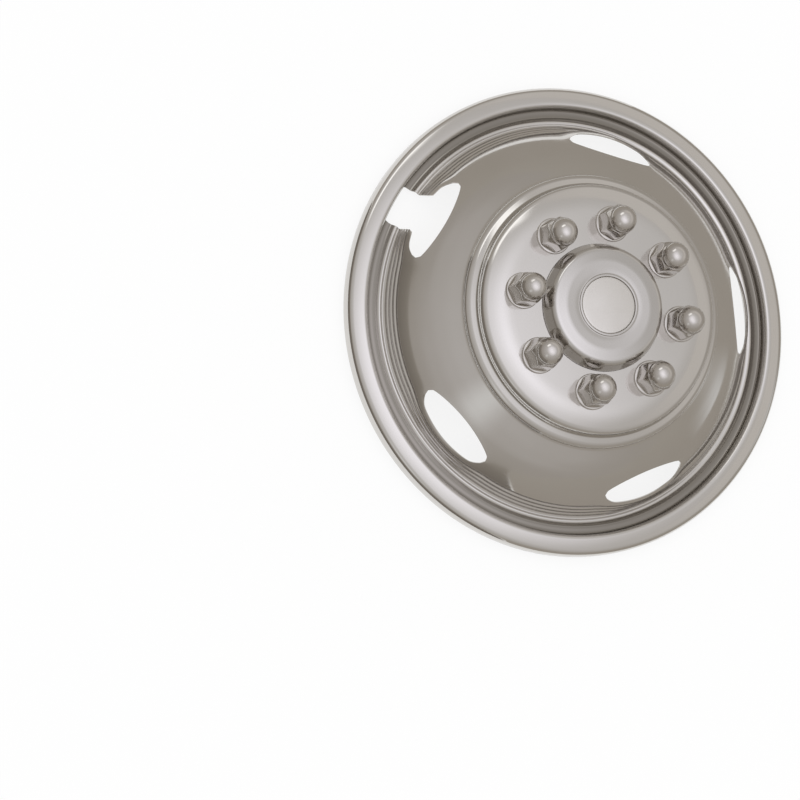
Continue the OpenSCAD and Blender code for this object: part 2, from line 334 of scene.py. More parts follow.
def cut_grid(place: Callable[[Array, Array], Array], keep: Callable[[Array, Array], Array],
             rows: int, cols: int) -> tuple[Array, list[Array]]:
    """A closed-column grid surface with every hole cut along its true outline.

    The surface is a function of a row number and an angle. Cells that an outline crosses are
    cut by the crossing points on their sides, where keep is 0 by linear interpolation, and
    the points there are placed by the same function, so they lie on the surface.

    Args:
        place: gives points for row numbers and angles in radians.
        keep: positive where the sheet stays and negative in a hole.
        rows: number of rows.
        cols: number of columns.

    Returns:
        Points in millimetres, and faces by number of corners.
    """
    row, ang = np.meshgrid(np.arange(rows, dtype=float), full_turn(cols), indexing="ij")
    value = keep(row, ang)
    quads = ring_faces(rows, cols)
    flat = value.ravel()
    inside = flat[quads] > 0
    code = inside @ np.array([1, 2, 4, 8])
    params = [np.stack([row.ravel(), ang.ravel()], axis=-1)]
    total = rows * cols
    faces = [quads[code == 15]]
    for pattern, shape in CELL_CUTS.items():
        cells = quads[code == pattern]
        if not len(cells):
            continue
        corners: list[Array] = []
        for point in shape:
            if point < 4:
                corners.append(cells[:, point])
                continue
            a, b = cells[:, point - 4], cells[:, (point - 3) % 4]
            low, high = np.minimum(a, b), np.maximum(a, b)
            share = flat[low] / (flat[low] - flat[high])
            gap = params[0][high] - params[0][low]
            gap[:, 1] = (gap[:, 1] + np.pi) % (2 * np.pi) - np.pi
            params.append(params[0][low] + gap * share[:, None])
            corners.append(np.arange(total, total + len(cells)))
            total += len(cells)
        faces.append(np.stack(corners, axis=-1))
    at = np.vstack(params)
    verts = place(at[:, 0], at[:, 1])
    keys = np.round(verts, 4)
    _, first, same = np.unique(keys, axis=0, return_index=True, return_inverse=True)
    same = same.ravel()
    used = np.unique(np.concatenate([same[block].ravel() for block in faces]))
    renumber = np.full(len(first), -1)
    renumber[used] = np.arange(len(used))
    return verts[first][used], [renumber[same[block]] for block in faces]


# Finishes

def add_node(tree: bpy.types.NodeTree, kind: str, settings: dict[str, object] | None = None,
             inputs: dict[str, object] | None = None) -> bpy.types.Node:
    """Adds a node with its settings and its inputs.

    Args:
        tree: the node tree.
        kind: the node's type name.
        settings: properties of the node.
        inputs: values or output sockets, by the input's name or number.

    Returns:
        The node.
    """
    node = tree.nodes.new(kind)
    for name, value in (settings or {}).items():
        setattr(node, name, value)
    for name, value in (inputs or {}).items():
        socket = node.inputs[name]
        if isinstance(value, bpy.types.NodeSocket):
            tree.links.new(value, socket)
        else:
            socket.default_value = value
    return node


def maths(tree: bpy.types.NodeTree, what: Sum, *values: object) -> bpy.types.NodeSocket:
    """Adds a maths node.

    Args:
        tree: the node tree.
        what: what the node works out.
        values: its one or two inputs, as numbers or output sockets.

    Returns:
        The node's result.
    """
    node = add_node(tree, "ShaderNodeMath", {"operation": what.value}, dict(enumerate(values)))
    return node.outputs["Value"]


def new_material(name: str) -> tuple[bpy.types.Material, bpy.types.NodeTree, bpy.types.Node]:
    """Makes an empty material with its output node.

    Args:
        name: the material's name.

    Returns:
        The material, its tree and its output node.
    """
    mat = bpy.data.materials.new(name)
    mat.use_nodes = True
    tree = mat.node_tree
    tree.nodes.clear()
    return mat, tree, tree.nodes.new("ShaderNodeOutputMaterial")


@dataclass(frozen=True)
class PolishedMetal:
    """Sheet metal that was polished with round strokes about the wheel's axis.

    Attributes:
        name: the metal and how it was finished.
        colour: the metal's tint in light.
        shade: the tint of its slightly duller patches.
        gloss: roughness of the bright places.
        haze: roughness added in the dull places.
        stroke_mm: distance between polishing strokes; drawn coarser than the real 0.1 mm, so
            that it shows.
        stroke_mm_height: height of a stroke.
        wave_mm: size of the slow waves that pressing leaves in a sheet.
        wave_height: height of those waves in millimetres.
        groove_shade_band: the distances from the axis between which the groove gets painted shade.
        groove_shade_share: how bright the metal stays in that painted shade.
        groove_shade_core: share of the band's half width that is fully in painted shade.
    """

    name: str
    colour: str
    shade: str
    gloss: float
    haze: float
    stroke_mm: float
    stroke_mm_height: float
    wave_mm: float
    wave_height: float
    groove_shade_band: tuple[float, float] = (0.0, 0.0)
    groove_shade_share: float = 1.0
    groove_shade_core: float = 0.4

    def build(self) -> bpy.types.Material:
        """Makes the material.

        Returns:
            The material, with its patterns on Object coordinates.
        """
        mat, tree, out = new_material(self.name)
        coord = add_node(tree, "ShaderNodeTexCoord")
        where = coord.outputs["Object"]
        # Patches of slightly different polish, several centimetres across
        patch = add_node(tree, "ShaderNodeTexNoise", None,
                         {"Vector": where, "Scale": 1 / (self.wave_mm * MM), "Detail": 2.0})
        tint = add_node(tree, "ShaderNodeMix", {"data_type": "RGBA"},
                        {0: patch.outputs["Fac"], 6: srgb(self.colour), 7: srgb(self.shade)})
        rough = add_node(tree, "ShaderNodeMapRange", None,
                         {"Value": patch.outputs["Fac"], "From Min": 0.3, "From Max": 0.7,
                          "To Min": self.gloss, "To Max": self.gloss + self.haze})
        # The strokes run round the axis: a noise read only along the distance from it
        split = add_node(tree, "ShaderNodeSeparateXYZ", None, {"Vector": where})
        flat = add_node(tree, "ShaderNodeCombineXYZ", None,
                        {"X": split.outputs["X"], "Y": split.outputs["Y"]})
        away = add_node(tree, "ShaderNodeVectorMath", {"operation": "LENGTH"},
                        {0: flat.outputs["Vector"]})
        lane = add_node(tree, "ShaderNodeCombineXYZ", None,
                        {"X": away.outputs["Value"], "Z": split.outputs["Z"]})
        stroke = add_node(tree, "ShaderNodeTexNoise", None,
                          {"Vector": lane.outputs["Vector"],
                           "Scale": 1 / (self.stroke_mm * MM), "Detail": 3.0})
        wave = add_node(tree, "ShaderNodeTexNoise", None,
                        {"Vector": where, "Scale": 1.6 / (self.wave_mm * MM), "Detail": 1.0})
        broad = add_node(tree, "ShaderNodeBump", None,
                         {"Height": wave.outputs["Fac"], "Strength": 1.0,
                          "Distance": self.wave_height * MM})
        fine = add_node(tree, "ShaderNodeBump", None,
                        {"Height": stroke.outputs["Fac"], "Strength": 1.0,
                         "Distance": self.stroke_mm_height * MM,
                         "Normal": broad.outputs["Normal"]})
        colour = tint.outputs[2]
        # Painted shade: the band in the groove is darkened in the tint itself
        if self.groove_shade_share < 1.0:
            colour = self.painted_groove_shade(tree, away.outputs["Value"], colour)
        shader = add_node(tree, "ShaderNodeBsdfPrincipled", None,
                          {"Base Color": colour, "Metallic": 1.0,
                           "Roughness": rough.outputs["Result"],
                           "Normal": fine.outputs["Normal"]})
        tree.links.new(shader.outputs[0], out.inputs["Surface"])
        return mat

    def painted_groove_shade(self, tree: bpy.types.NodeTree, away: bpy.types.NodeSocket,
               colour: bpy.types.NodeSocket) -> bpy.types.NodeSocket:
        """Darkens the tint in the groove's band, as painted shade.

        Args:
            tree: the material's nodes.
            away: the distance from the wheel's axis.
            colour: the tint.

        Returns:
            The tint with the band of painted shade in it.
        """
        low, high = (edge * MM for edge in self.groove_shade_band)
        half = (high - low) / 2
        off = maths(tree, Sum.SIZE, maths(tree, Sum.LESS, away, (low + high) / 2))
        share = add_node(tree, "ShaderNodeMapRange", {"interpolation_type": "SMOOTHSTEP"},
                         {"Value": off, "From Min": half, "From Max": half * self.groove_shade_core,
                          "To Min": 0.0, "To Max": 1.0})
        # The painted shade takes out blue first
        painted_shade_tint = (self.groove_shade_share, self.groove_shade_share * 0.96, self.groove_shade_share * 0.9, 1.0)
        dark = add_node(tree, "ShaderNodeMix", {"data_type": "RGBA", "blend_type": "MULTIPLY"},
                        {0: share.outputs["Result"], 6: colour, 7: painted_shade_tint})
        return dark.outputs[2]


# Stainless sheet, mirror-polished after pressing: warm grey, with a faint haze of round strokes.
# Its groove, 198 to 212 mm from the axis, is darkened with painted shade.
LINER_STEEL = PolishedMetal("polished_stainless_sheet", "#D6D3D0", "#CFCCC7", 0.08, 0.05,
                            0.9, 0.0006, 60.0, 0.012, (198.0, 212.0), 0.45)
# The same sheet on the small drawn hub cover, a touch greyer, because drawing dulls it.
HUB_STEEL = PolishedMetal("polished_stainless_drawn", "#CFCCC9", "#C8C5C1", 0.08, 0.05,
                          0.7, 0.0005, 40.0, 0.010)
# Chrome plate on deep-drawn steel: neutral and very bright, with no strokes to speak of.
COVER_CHROME = PolishedMetal("bright_chrome_plate", "#D2CECA", "#C7C3BE", 0.13, 0.05,
                             1.2, 0.0002, 14.0, 0.004)
# Bare spring steel, tumbled after stamping: darker and satin.
RING_STEEL = PolishedMetal("tumbled_spring_steel", "#8E8D8A", "#7B7A77", 0.28, 0.14,
                           0.5, 0.004, 8.0, 0.01)
# Anodised aluminium, satin: pale and soft, because the oxide scatters the light.
PLATE_ALUMINIUM = PolishedMetal("satin_anodised_aluminium", "#E2DFDB", "#DBD8D3", 0.34, 0.08,
                                0.4, 0.003, 20.0, 0.004)


# The pressed liner

@dataclass
class WheelLiner:
    """The pressed sheet: disc, shoulder, dish, steps, ridge, groove and lip in one surface."""

    finish: PolishedMetal
    rim_r: float
    disc_h: float
    sheet_t: float = 1.2
    hem_w: float = 5.0
    lip_h: float = 16.0
    lip_fall: float = 3.5
    lip_round: float = 7.0
    lip_w: float = 15.3
    wall_round: float = 5.0
    groove_w: float = 11.0
    groove_h: float = 3.5
    groove_slope: float = 0.4
    groove_round: float = 5.0
    wall_lean: float = 1.0
    wall_foot_round: float = 3.0
    hem_round: float = 0.5
    ridge_h: float = 8.5
    ridge_round: float = 2.6
    ridge_foot_round: float = 1.0
    step_base_h: float = 6.5
    foot_h: float = 21.0
    foot_r: float = 183.0
    land_w: float = 3.0
    shoulder_r: float = 132.8
    shoulder_h: float = 64.0
    shoulder_round: float = 0.8
    dish_mid: tuple[float, float] = (158.6, 46.0)
    dish_bend: float = 170.0
    dish_knee: tuple[float, float] = (177.2, 27.8)
    knee_bend: float = 30.0
    seam: float = 0.6
    lower_roll_h: float = 8.5
    lower_roll_w: float = 8.0
    ledge_fall: float = 1.0
    ledge_round: float = 2.0
    roll_in: float = 3.0
    roll_drop: float = 4.0
    roll_round: float = 5.0
    waist_round: float = 1.5
    disc_r: float = 123.0
    disc_edge_w: float = 20.0
    disc_bend: float = 48.0
    disc_drop: float = 5.5
    opening_r: float = 61.8
    hand_count: int = 5
    hand_in: float = 162.8
    hand_out: float = 185.0
    hand_half_l: float = 46.4
    hand_rise: float = 3.8
    hand_end_in: float = 166.6
    hand_end_slant: float = math.radians(25.0)
    hand_end_round: float = 8.0
    hand_edge_round: float = 2.0
    swell_angle: float = math.radians(16.0)
    swell_round: float = 1.2
    stretch_from: float = 163.0
    slot_start: float = 174.0
    slot_w: float = 40.0
    slot_corner: float = 4.0
    slot_margin: float = 1.5
    lug_pcd: float = 165.1
    lug_count: int = 8
    lug_hole_r: float = 13.3
    rib_height: float = 0.5
    rib_count: int = 4
    rib_points: int = 12
    rows: int = 96
    cols: int = 480
    fold: float = 50.0

    @property
    def wall_r(self) -> float:
        """Radius of the lip's inner wall."""
        return self.rim_r - self.lip_w - self.wall_round

    @property
    def ridge_r(self) -> float:
        """Radius of the ridge bead."""
        return self.wall_r - self.groove_w - self.ridge_round

    @property
    def base_r(self) -> float:
        """Radius of the flat at the foot of the steps."""
        return self.ridge_r - self.ridge_round - self.ridge_foot_round

    @cached_property
    def section(self) -> Array:
        """The outer face's section, from the hub opening to the turned-in edge.

        Returns:
            Radius and height of each row. The steps are a straight slope with a cosine wave
            across it, whose crests are the ribs.
        """
        ledge = self.shoulder_h + self.lower_roll_h
        upper = rounded_line([
            (self.opening_r, self.disc_h, 0),
            (self.disc_r - self.disc_edge_w, self.disc_h, self.disc_bend),
            (self.disc_r - self.roll_in, self.disc_h - self.disc_drop, self.roll_round),
            (self.disc_r, ledge, self.waist_round),
            (self.shoulder_r - self.lower_roll_w + self.roll_in, ledge - self.ledge_fall,
             self.ledge_round),
            (self.shoulder_r, ledge - self.roll_drop, self.roll_round),
            (self.shoulder_r, self.shoulder_h, self.shoulder_round),
            (*self.dish_mid, self.dish_bend),
            (*self.dish_knee, self.knee_bend),
            (self.foot_r - self.seam, self.foot_h + self.seam, 0),
        ])
        share = np.linspace(0, 1, self.rib_points * self.rib_count + 1)[1:-1]
        run, rise = self.base_r - self.foot_r, self.step_base_h - self.foot_h
        slope = np.array([run, rise]) / math.hypot(run, rise)
        out = np.array([-slope[1], slope[0]])
        wave = self.rib_height * (np.cos(2 * np.pi * self.rib_count * share) - 1)
        steps = (np.array([self.foot_r, self.foot_h]) + share[:, None] * np.array([run, rise])
                 + wave[:, None] * out)
        rim = rounded_line([
            (self.base_r, self.step_base_h, 0),
            (self.ridge_r - self.ridge_round, self.step_base_h, self.ridge_foot_round),
            (self.ridge_r, self.ridge_h, self.ridge_round),
            (self.ridge_r + self.groove_w * self.groove_slope, self.groove_h, self.groove_round),
            (self.wall_r - self.wall_lean, self.groove_h, self.wall_foot_round),
            (self.wall_r, self.lip_h, self.wall_round),
            (self.rim_r, self.lip_h - self.lip_fall, self.lip_round),
            (self.rim_r, 0, self.hem_round),
            (self.rim_r - self.hem_w, 0, 0),
        ])
        return spread(np.vstack([upper, steps, rim]), self.rows)

    def hole_angle(self, ang: Array) -> Array:
        """Angle from the middle of the nearest hand hole, the first of which is at +Y.

        Args:
            ang: angles about the axis.

        Returns:
            Signed angles in radians.
        """
        turn = 2 * np.pi / self.hand_count
        return (ang - np.pi / 2 + turn / 2) % turn - turn / 2

    @cached_property
    def swell_circle(self) -> tuple[float, float]:
        """How far out the middle of the swell's circle is, and the circle's radius.

        The circle goes through the land's outer edge at the hole's middle, and through the
        foot's own circle at swell_angle.
        """
        out = self.hand_out + self.land_w
        gap = out - self.foot_r * math.cos(self.swell_angle)
        radius = (gap ** 2 + (self.foot_r * math.sin(self.swell_angle)) ** 2) / (2 * gap)
        return out - radius, radius

    def swell(self, local: Array) -> Array:
        """Radius of the dish's foot, which swells round a hand hole.

        Args:
            local: angle from the hole's middle.

        Returns:
            Radii in millimetres. The swell meets the foot's own circle in a rounded corner.
        """
        off, radius = self.swell_circle
        arc = off * np.cos(local) + np.sqrt(radius ** 2 - (off * np.sin(local)) ** 2)
        return -soft_min(-arc, np.full_like(arc, -self.foot_r), self.swell_round)

    def radius_at(self, row: Array, ang: Array) -> tuple[Array, Array]:
        """Radius and height of a point of the sheet.

        Rows between the foot and the base of the steps are squeezed outwards by the swell, in
        equal shares of the room that is left. Rows of the dish just inside the foot stretch
        with it, by the square of how near they are.

        Args:
            row: row numbers, which may be fractions.
            ang: angles in radians.

        Returns:
            Radii and heights.
        """
        index = np.arange(self.rows)
        r = np.interp(row, index, self.section[:, 0])
        z = np.interp(row, index, self.section[:, 1])
        foot = self.swell(self.hole_angle(ang))
        steps = (r >= self.foot_r) & (r <= self.base_r) & (z > self.step_base_h - self.seam)
        share = (r - self.foot_r) / (self.base_r - self.foot_r)
        squeezed = foot + share * (self.base_r - foot)
        near = np.clip((r - self.stretch_from) / (self.foot_r - self.stretch_from), 0, 1) ** 2
        stretched = r + near * (foot - self.foot_r)
        dish = (r < self.foot_r) & (z < self.shoulder_h)
        return np.where(steps, squeezed, np.where(dish, stretched, r)), z

    def place(self, row: Array, ang: Array) -> Array:
        """Points of the sheet in millimetres.

        Args:
            row: row numbers.
            ang: angles in radians.

        Returns:
            n by 3 points.
        """
        r, z = self.radius_at(row, ang)
        return around(r, ang, z)

    def keep(self, row: Array, ang: Array) -> Array:
        """Distance to the nearest hole's outline, negative inside it.

        A hand hole is worked out in its own plan axes, u outwards and v sideways. It is what
        lies outside a parabola that bulges inwards, inside the circle of the swell less the
        land, and within two slanted ends; soft minimums round its corners. The slot and the
        lug holes are a rounded box and circles in the plan view.

        Args:
            row: row numbers.
            ang: angles in radians.

        Returns:
            Distances in millimetres.
        """
        r, _ = self.radius_at(row, ang)
        x, y = r * np.cos(ang), r * np.sin(ang)
        local = self.hole_angle(ang)
        u, v = r * np.cos(local), np.abs(r * np.sin(local))
        off, radius = self.swell_circle
        inner = u - self.hand_in - self.hand_rise * (v / self.hand_half_l) ** 2
        outer = radius - self.land_w - np.hypot(u - off, v)
        end = (math.cos(self.hand_end_slant) * (self.hand_half_l - v)
               - math.sin(self.hand_end_slant) * (u - self.hand_end_in))
        hand = -soft_min(soft_min(inner, outer, self.hand_edge_round), end, self.hand_end_round)
        slot_end = self.wall_r - self.slot_margin
        slot = self.round_box(x, y - (self.slot_start + slot_end) / 2, self.slot_w / 2,
                              (slot_end - self.slot_start) / 2, self.slot_corner)
        turn = 2 * np.pi / self.lug_count
        lug_ang = ang % turn - turn / 2
        lug = np.hypot(r * np.cos(lug_ang) - self.lug_pcd / 2, r * np.sin(lug_ang))
        return np.minimum(np.minimum(hand, slot), lug - self.lug_hole_r)

    @staticmethod
    def round_box(x: Array, y: Array, half_x: Array, half_y: Array, corner: float) -> Array:
        """Distance from the outline of a box with rounded corners.

        Args:
            x: first coordinates from its middle.
            y: second coordinates from its middle.
            half_x: half of its first side.
            half_y: half of its second side.
            corner: radius of its corners.

        Returns:
            Distances, negative inside.
        """
        qx = np.abs(x) - half_x + corner
        qy = np.abs(y) - half_y + corner
        return (np.hypot(np.maximum(qx, 0), np.maximum(qy, 0))
                + np.minimum(np.maximum(qx, qy), 0) - corner)

    def build(self) -> bpy.types.Object:
        """Makes the sheet and gives it its thickness.

        Returns:
            The piece, which replaces the liner's solid.
        """
        verts, faces = cut_grid(self.place, self.keep, self.rows, self.cols)
        piece = add_mesh("liner_sheet", verts, faces, self.finish.build())
        thicken(piece, self.sheet_t)
        crisp(piece, self.fold)
        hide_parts("wheel_liner")
        return piece


# The drawn hub cover and its plate

@dataclass
class HubCover:
    """The domed cap in the middle, its bead and the plain plate inside the bead."""

    finish: PolishedMetal
    plate_finish: PolishedMetal
    disc_h: float
    sheet_t: float = 1.2
    cap_t: float = 0.8
    hub_r: float = 61.5
    foot_h: float = 2.0
    lean: float = 5.0
    wall_h: float = 15.0
    round_r: float = 6.5
    crown_h: float = 17.6
    crown_r: float = 60.0
    top_h: float = 16.0
    flange_w: float = 3.0
    bead_r: float = 30.2
    bead_w: float = 2.8
    bead_h: float = 1.3
    bead_round: float = 0.9
    recess_h: float = 1.0
    crease: float = 0.3
    foot_round: float = 1.5
    plate_t: float = 1.2
    plate_crown: float = 0.9
    plate_fit: float = 0.3
    plate_edge: float = 0.5
    middle_r: float = 2.0
    cols: int = 240

    def spin(self, line: Array) -> Array:
        """Turns a section about the axis.

        Args:
            line: radius and height of each row, from near the axis outwards.

        Returns:
            Points, row by row.
        """
        return around(line[:, :1], full_turn(self.cols), line[:, 1:])

    def cap(self) -> bpy.types.Object:
        """The drawn cap, from its middle out to the flange behind the disc.

        Returns:
            The piece, which replaces the hub cover's solid.
        """
        top = self.disc_h + self.top_h
        back = self.disc_h - self.sheet_t
        line = rounded_line([
            (self.middle_r, top - self.recess_h, 0),
            (self.bead_r - self.bead_w, top - self.recess_h, self.crease),
            (self.bead_r - self.bead_w, top + self.bead_h, self.bead_round),
            (self.bead_r, top + self.bead_h, self.bead_round),
            (self.bead_r, top, self.crease),
            ((self.bead_r + self.hub_r - self.lean) / 2, self.disc_h + self.crown_h, self.crown_r),
            (self.hub_r - self.lean, self.disc_h + self.wall_h, self.round_r),
            (self.hub_r, self.disc_h + self.foot_h, self.foot_round),
            (self.hub_r, back, self.crease),
            (self.hub_r + self.flange_w, back, 0),
        ], step=10)
        verts, faces = capped(self.spin(spread(line, 64, 6.0)), self.cols,
                              (0, 0, top - self.recess_h))
        piece = add_mesh("hub_cap", verts, faces, self.finish.build())
        thicken(piece, self.cap_t)
        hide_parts("hub_cover")
        return piece

    def plate(self) -> bpy.types.Object:
        """The plain plate: a shallow crown, height falling with the square of the radius.

        Returns:
            The piece, which replaces the plate's solid.
        """
        seat = self.disc_h + self.top_h - self.recess_h
        edge = self.bead_r - self.bead_w - self.plate_fit
        r = np.linspace(self.middle_r / 2, edge - self.plate_edge, 14)
        face = seat + self.plate_t + self.plate_crown * (1 - (r / edge) ** 2)
        rim = rounded_line([
            (edge - self.plate_edge, face[-1], 0), (edge, face[-1] - 0.1, 0.4),
            (edge, seat, 0.1), (self.middle_r / 2, seat, 0)], step=15)[1:]
        line = np.vstack([np.stack([r, face], axis=-1), rim])
        verts, faces = capped(self.spin(line), self.cols,
                              (0, 0, seat + self.plate_t + self.plate_crown), (0, 0, seat))
        piece = add_mesh("plain_plate", verts, faces, self.plate_finish.build())
        crisp(piece, 40)
        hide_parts("centre_plate")
        return piece

    def build(self) -> list[bpy.types.Object]:
        """Makes the cap and its plate.

        Returns:
            Both pieces.
        """
        return [self.cap(), self.plate()]


# The covers over the wheel nuts

@dataclass
class LugCovers:
    """Eight hollow chromed covers: flange, rounded hexagon and dome."""

    finish: PolishedMetal
    disc_h: float
    sheet_t: float = 1.2
    pcd: float = 165.1
    count: int = 8
    hex_flats: float = 28.4
    hex_h: float = 17.5
    dome_h: float = 24.7
    dome_r: float = 13.5
    top_h: float = 38.0
    flange_r: float = 17.5
    flange_t: float = 2.4
    flange_roll: float = 1.3
    fillet_h: float = 2.4
    wall: float = 1.0
    bore_r: float = 12.0
    collar_r: float = 13.0
    collar_foot: float = 3.7
    corner_round: float = 1.0
    edge_round: float = 0.7
    fold: float = 50.0
    turns: tuple[float, ...] = (12, 26, 4, 18, 40, 8, 33, 21)
    cols: int = 144

    def envelope(self) -> Array:
        """The round outline that the hexagon is cut from, from the dome's top to the flange.

        Returns:
            Radius and height above the disc of each row.
        """
        hex_r = self.hex_flats / 2 / math.cos(math.pi / 6)
        slope = (self.dome_h - self.hex_h) / (hex_r - self.dome_r)
        line = rounded_line([
            (0.4, self.top_h, 0),
            (self.dome_r, self.top_h, self.dome_r * 0.95),
            (self.dome_r, self.dome_h, 0.3),
            (hex_r + 1, self.hex_h - slope, 0),
            (hex_r + 1, self.flange_t + self.fillet_h, 0),
        ], step=5)
        return spread(line, 72, 4.0)

    def outer(self, turn: float) -> Array:
        """The outer face above the flange: the smaller of the round outline and the hexagon.

        The hexagon's radius is half its flats over the cosine of the angle from the nearest
        flat's middle, and the two are joined by a soft minimum. A quarter ellipse flares it out
        to the flange's rolled edge.

        Args:
            turn: the hexagon's turn in radians.

        Returns:
            Points, row by row, from the top down.
        """
        ang = full_turn(self.cols)
        sixth = np.pi / 3
        off = (ang - turn) % sixth - sixth / 2
        flat = self.hex_flats / 2 / np.cos(off)
        hexagon = soft_min(flat, np.full_like(flat, self.hex_flats / 2 / math.cos(sixth / 2) - 0.2),
                           self.corner_round)
        env = self.envelope()
        r = soft_min(env[:, :1] + 0 * ang, hexagon + 0 * env[:, :1], self.edge_round)
        z = env[:, 1:] + 0 * ang
        r[0] = env[0, 0]
        bend = np.linspace(0, np.pi / 2, 7)[1:, None]
        lip = self.flange_r - self.flange_roll
        fillet_r = r[-1] + (lip - r[-1]) * (1 - np.cos(bend))
        fillet_z = self.flange_t + self.fillet_h * (1 - np.sin(bend)) + 0 * ang
        foot = rounded_line([(lip - 1, self.flange_t, 0),
                             (self.flange_r, self.flange_t, self.flange_roll),
                             (self.flange_r, 0, 0.2),
                             (self.bore_r + self.wall, 0, 0),
                             (self.collar_r, -self.collar_foot, 0)], step=12)[1:]
        rr = np.vstack([r, fillet_r, foot[:, :1] + 0 * ang])
        zz = np.vstack([z, fillet_z, foot[:, 1:] + 0 * ang])
        return around(rr, ang, zz)

    def inner(self) -> Array:
        """The bore and its round end, from the collar's foot up to near the axis.

        Returns:
            Points, row by row.
        """
        top = self.top_h - self.wall - self.bore_r
        bend = np.linspace(0, np.pi / 2 - 0.05, 14)
        r = np.concatenate([[self.bore_r, self.bore_r], self.bore_r * np.cos(bend)])
        z = np.concatenate([[-self.collar_foot, top * 0.5], top + self.bore_r * np.sin(bend)])
        return around(r[:, None], full_turn(self.cols), z[:, None])

    def cover(self, index: int, material: bpy.types.Material) -> bpy.types.Object:
        """Makes one cover.

        Args:
            index: which cover, from 0, anticlockwise from +X.
            material: its finish.

        Returns:
            The piece, which replaces that cover's solid.
        """
        grid = np.vstack([self.outer(math.radians(self.turns[index])), self.inner()])
        verts, faces = capped(grid, self.cols, (0, 0, self.top_h), (0, 0, self.top_h - self.wall))
        ang = (index + 0.5) * 2 * np.pi / self.count
        c, s = math.cos(ang), math.sin(ang)
        turned = verts @ np.array([[c, s, 0], [-s, c, 0], [0, 0, 1]])
        turned += np.array([c * self.pcd / 2, s * self.pcd / 2, self.disc_h])
        piece = add_mesh(f"nut_cover_{index + 1}", turned, faces, material)
        crisp(piece, self.fold)
        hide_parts(f"lug_cover_{index + 1}")
        return piece

    def build(self) -> list[bpy.types.Object]:
        """Makes all the covers.

        Returns:
            The pieces.
        """
        material = self.finish.build()
        return [self.cover(i, material) for i in range(self.count)]


@dataclass
class RetainingRings:
    """The spring rings behind the disc, which stay as modelled and get their finish."""

    finish: PolishedMetal
    count: int = 8

    def build(self) -> None:
        """Dresses each ring's own object."""
        material = self.finish.build()
        for i in range(self.count):
            node = bpy.data.objects[f"retaining_ring_{i + 1}"]
            for place in node.material_slots:
                place.material = material


# Studio and camera

@dataclass(frozen=True)
class Card:
    """A photographer's card or softbox, of which only the polished metal shows anything.

    Attributes:
        name: what it is for.
        low: its colour at its lower edge.
        high: its colour at its upper edge.
        bright: how much brighter than plain white its lamps make it.
        fade: share of its width and height over which each edge fades out.
    """

    name: str
    low: str
    high: str
    bright: float = 1.0
    fade: float = 0.0

    def build(self, rows: int, cols: int, verts: Array) -> bpy.types.Object:
        """Makes the card from a grid.

        Args:
            rows: number of rows, from the lower edge up.
            cols: number of points in a row.
            verts: its points in metres, row by row.

        Returns:
            The stage piece, which only reflections show.
        """
        i, j = np.meshgrid(np.arange(rows - 1), np.arange(cols - 1), indexing="ij")
        k = (i * cols + j).ravel()
        faces = np.stack([k, k + 1, k + cols + 1, k + cols], axis=-1)
        card = stage_piece(self.name, verts, faces, self.cloth())
        card.data.polygons.foreach_set("use_smooth", np.ones(len(faces), dtype=bool))
        corner = faces.ravel()
        across = np.stack([corner % cols / (cols - 1), corner // cols / (rows - 1)], axis=-1)
        card.data.uv_layers.new(name="card").data.foreach_set("uv", across.ravel())
        card.visible_camera = False
        card.visible_diffuse = False
        card.visible_shadow = False
        card.visible_transmission = False
        return card

    def cloth(self) -> bpy.types.Material:
        """The card's glowing cloth, which fades out towards its edges.

        Returns:
            The material, on the card's own UVs.
        """
        mat, tree, out = new_material(f"{self.name}_cloth")
        place = add_node(tree, "ShaderNodeUVMap", {"uv_map": "card"})
        split = add_node(tree, "ShaderNodeSeparateXYZ", None, {"Vector": place.outputs[0]})
        tint = add_node(tree, "ShaderNodeMix", {"data_type": "RGBA"},
                        {0: split.outputs["Y"], 6: srgb(self.low), 7: srgb(self.high)})
        glow = add_node(tree, "ShaderNodeEmission", None,
                        {"Color": tint.outputs[2], "Strength": self.bright})
        if self.fade == 0.0:
            tree.links.new(glow.outputs[0], out.inputs["Surface"])
            return mat
        share = 1.0
        for side in ("X", "Y"):
            away = maths(tree, Sum.SIZE, maths(tree, Sum.LESS, split.outputs[side], 0.5))
            near = add_node(tree, "ShaderNodeMapRange", {"interpolation_type": "SMOOTHSTEP"},
                            {"Value": away, "From Min": 0.5, "From Max": 0.5 - self.fade})
            share = maths(tree, Sum.TIMES, near.outputs["Result"], share)
        clear = tree.nodes.new("ShaderNodeBsdfTransparent")
        mix = add_node(tree, "ShaderNodeMixShader", None,
                       {0: share, 1: clear.outputs[0], 2: glow.outputs[0]})
        tree.links.new(mix.outputs[0], out.inputs["Surface"])
        return mat


